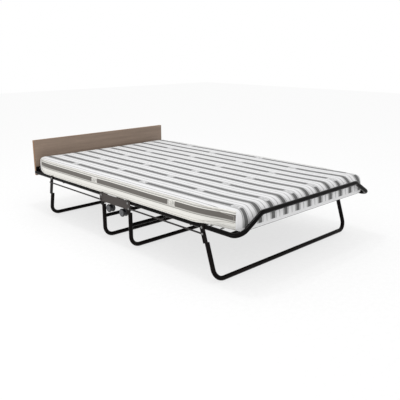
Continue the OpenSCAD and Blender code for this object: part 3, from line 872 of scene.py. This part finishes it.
def make_eyelets(half, springs, centre_y, metal):
    """A metal eyelet in the hem at each spring: a bead above the cloth and one below it."""
    radius, wire, rise, inset, sides = 0.0042, 0.0009, 0.0016, 0.006, 16
    bm = bmesh.new()
    for a, b in springs:
        middle = (a + b) / 2
        if at_side((a, b)):
            inward = Vector((math.copysign((b.x - a.x) / 2 + inset, -middle.x), 0, 0))
        else:
            inward = Vector((0, math.copysign((b.y - a.y) / 2 + inset, centre_y - middle.y), 0))
        place = middle + inward
        angles = np.linspace(0, 2 * math.pi, sides + 1)
        ring = [place + Vector((math.cos(t), math.sin(t), 0)) * radius for t in angles]
        for height in (rise, -rise):
            tube_along(bm, [p + Vector((0, 0, height)) for p in ring], wire, 6, closed_ends=False)
    bmesh.ops.remove_doubles(bm, verts=bm.verts, dist=2e-5)
    eyelets = from_bmesh(f"{half}_deck_eyelets", bm)
    eyelets.data.materials.append(metal)
    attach(eyelets, f"{half}_frame")
    return eyelets


def make_deck(half, cloth, metal):
    """Woven sheet with a turned hem, drawn in a little between the springs, and an eyelet at each spring."""
    a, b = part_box(f"{half}_deck")
    centre_y = (a.y + b.y) / 2
    springs = solids_of(f"{half}_deck_springs")
    side_pitch = spacing([s for s in springs if s[0].x > 0 and at_side(s)], 1)
    end_pitch = spacing([s for s in springs if s[0].y > centre_y and not at_side(s)], 0)
    edge = drawn_edge(b, centre_y, side_pitch, end_pitch)
    sheet = deck_layer(half, f"{half}_deck_sheet", 0.0012, edge, cloth)
    hem = deck_layer(half, f"{half}_deck_hem", 0.0036, edge, cloth, hem_width=0.026)
    eyelets = make_eyelets(half, springs, centre_y, metal)
    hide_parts(f"{half}_deck")


# ---- headboard ----

EDGE_EASE = 0.0004


def bevelled_box(bm, a, b, radius, segments):
    """A box from corner a to corner b with eased edges."""
    made = bmesh.ops.create_cube(bm, size=1.0)["verts"]
    for v in made:
        v.co = Vector(((a[i] + b[i]) / 2 + v.co[i] * (b[i] - a[i]) for i in range(3)))
    edges = list({e for v in made for e in v.link_edges})
    bmesh.ops.bevel(bm, geom=edges, offset=radius, segments=segments, affect="EDGES", profile=0.5)


def rounded_outline(x0, z0, x1, z1, radius, steps=5):
    """Points round a rectangle in X and Z with round corners."""
    points = []
    for cx, cz, start in ((x1 - radius, z0 + radius, -90), (x1 - radius, z1 - radius, 0),
                          (x0 + radius, z1 - radius, 90), (x0 + radius, z0 + radius, 180)):
        for k in range(steps + 1):
            t = math.radians(start + 90 * k / steps)
            points.append((cx + radius * math.cos(t), cz + radius * math.sin(t)))
    return points


def between(outer, inner, share):
    """An outline a share of the way from the outer one to the inner one."""
    return [(xo + (xi - xo) * share, zo + (zi - zo) * share) for (xo, zo), (xi, zi) in zip(outer, inner)]


def make_panel(material):
    """The headboard's panel inside its edge band."""
    a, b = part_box("headboard")
    bm = bmesh.new()
    bevelled_box(bm, a, b, EDGE_EASE, 2)
    board = from_bmesh("headboard_panel", bm)
    board.data.materials.append(material)
    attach(board, "head_frame")
    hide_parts("headboard")


def make_edge_band(material):
    """A closed band round the panel, with its outer corners and edges eased."""
    a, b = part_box("headboard")
    lo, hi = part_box("headboard_edging")
    outline = rounded_outline(lo.x, lo.z, hi.x, hi.z, 0.003)
    inside = rounded_outline(a.x, a.z, b.x, b.z, 0.002)
    shoulder = between(outline, inside, 0.4)
    bm = bmesh.new()
    rows = []
    for loop, y in ((inside, lo.y), (shoulder, lo.y), (outline, lo.y + EDGE_EASE),
                    (outline, hi.y - EDGE_EASE), (shoulder, hi.y), (inside, hi.y)):
        rows.append([bm.verts.new((x, y, z)) for x, z in loop])
    rows.append(rows[0])
    for r0, r1 in zip(rows, rows[1:]):
        bridge(bm, r0, r1)
    bmesh.ops.recalc_face_normals(bm, faces=bm.faces)
    edging = from_bmesh("headboard_edge_band", bm)
    edging.data.materials.append(material)
    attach(edging, "head_frame")
    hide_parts("headboard_edging")


# ---- castors ----

def lathe(bm, centre, profile, sides=56):
    """Turns a closed profile of (radius, x) points round an axis along X through a centre."""
    rings = []
    for k in range(sides):
        t = 2 * math.pi * k / sides
        rings.append([bm.verts.new((centre.x + x, centre.y + r * math.cos(t), centre.z + r * math.sin(t)))
                      for r, x in profile])
    for r0, r1 in zip(rings, rings[1:] + rings[:1]):
        bridge(bm, r0, r1)


def make_castor(corner, tyre, cap):
    """Barrel wheels with a moulded tread edge, and a dished cover disc on each side."""
    a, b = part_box(f"castor_{corner}_wheels")
    centre = (a + b) / 2
    radius, half = (b.z - a.z) / 2, (b.x - a.x) / 2
    disc_low, disc_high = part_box(f"castor_{corner}_discs")
    disc_r = (disc_high.z - disc_low.z) / 2 + 0.0001
    inner, recess, bore, shoulder, ease = 0.005, 0.0025, 0.0031, 0.006, 0.0008
    crown = [(radius - 0.004 * abs(t) ** 3, inner + (half - inner) * (0.5 + 0.5 * t))
             for t in np.linspace(-0.96, 0.96, 15)]
    tread = [(bore, inner), (radius - shoulder, inner)] + crown
    tread += [(radius - shoulder, half), (disc_r + ease, half), (disc_r, half - ease),
              (disc_r, half - recess), (bore, half - recess)]

    # The disc: a flat back, a raised rim, a shallow ring and a raised hub
    back, ring, face = half - recess + 0.0001, half - 0.0011, half - 0.0002
    dish = [(bore, back), (disc_r - 0.0002, back), (disc_r - 0.0002, half - 0.0006), (disc_r - 0.0012, half),
            (disc_r - 0.004, face), (disc_r - 0.0055, ring), (0.0065, ring), (0.0055, face),
            (bore + ease, half), (bore, half - 0.0006)]
    wheels, discs = bmesh.new(), bmesh.new()
    for s in (-1, 1):
        lathe(wheels, centre, [(r, s * x) for r, x in tread])
        lathe(discs, centre, [(r, s * x) for r, x in dish])
    for bm, name, node, material, slot in (
            (wheels, "treads", "wheels", tyre, "castor_plastic"),
            (discs, "covers", "discs", cap, "disc_plastic")):
        bmesh.ops.recalc_face_normals(bm, faces=bm.faces)
        piece = from_bmesh(f"castor_{corner}_{name}", bm, math.radians(35))
        piece.data.materials.append(material)
        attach(piece, f"castor_{corner}_roller")
        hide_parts(f"castor_{corner}_{node}")


# ---- put it together ----

def paint(material, *names):
    """Puts a material on CAD nodes that are carried over as they are."""
    for name in names:
        for place in nodes[name].material_slots:
            place.material = material


make_camera()
make_floor()
make_light()

zinc_plate = zinc("zinc_plate", 0.3)
spring_wire = zinc("spring_wire", 0.42)
castor_black = plastic("castor_black", (0.014, 0.014, 0.016), 0.36)
castor_grey = plastic("castor_grey", (0.075, 0.078, 0.084), 0.45)
black_gloss = powder_coat("black_gloss", (0.0016, 0.0013, 0.0014), (0.004, 0.0031, 0.0033), 0.16, 0.05)
leg_gloss = powder_coat("leg_gloss", (0.003, 0.0021, 0.0021), (0.007, 0.005, 0.0047), 0.18, 0.05)
plate_satin = powder_coat("plate_satin", (0.036, 0.029, 0.0265), (0.052, 0.043, 0.039), 0.42, 0.2)
rod_satin = powder_coat("rod_satin", (0.016, 0.0135, 0.0135), (0.030, 0.026, 0.0255), 0.38, 0.2)
cap_black = plastic("cap_black", (0.012, 0.012, 0.012))
nylon = plastic("nylon", (0.62, 0.61, 0.57), 0.5)

paint(black_gloss, "head_side_rails", "head_cross_tubes", "foot_loop_frame", "foot_cross_tubes",
      "base_cross_tubes", "headboard_brackets", "centre_leg_head_bar", "centre_leg_foot_bar")
paint(leg_gloss, "head_leg_tube", "foot_leg_tube", "centre_leg_head_tube", "centre_leg_foot_tube")
paint(plate_satin, "left_hinge_plate", "right_hinge_plate")
paint(rod_satin, "head_link_rods", "foot_link_rods")
paint(zinc_plate, "frame_pivot_bolts", "rod_anchor_pins", "head_leg_pivot_bolts", "foot_leg_pivot_bolts",
      "headboard_screws", "head_leg_rod_pins", "foot_leg_rod_pins")
paint(nylon, "pivot_spacers")
paint(cap_black, "castor_sockets", "head_rail_caps", "foot_rail_caps")

make_mattress(ticking(), seam_thread_and_shade())
deck_cloth = woven_deck()
for half in ("head", "foot"):
    make_springs(half, spring_wire)
    make_deck(half, deck_cloth, spring_wire)
make_panel(laminate())
make_edge_band(edge_banding())
for corner in ("left_head", "left_foot", "right_head", "right_foot"):
    make_castor(corner, castor_black, castor_grey)
    paint(castor_black, f"castor_{corner}_hood")
    paint(zinc_plate, f"castor_{corner}_stem")
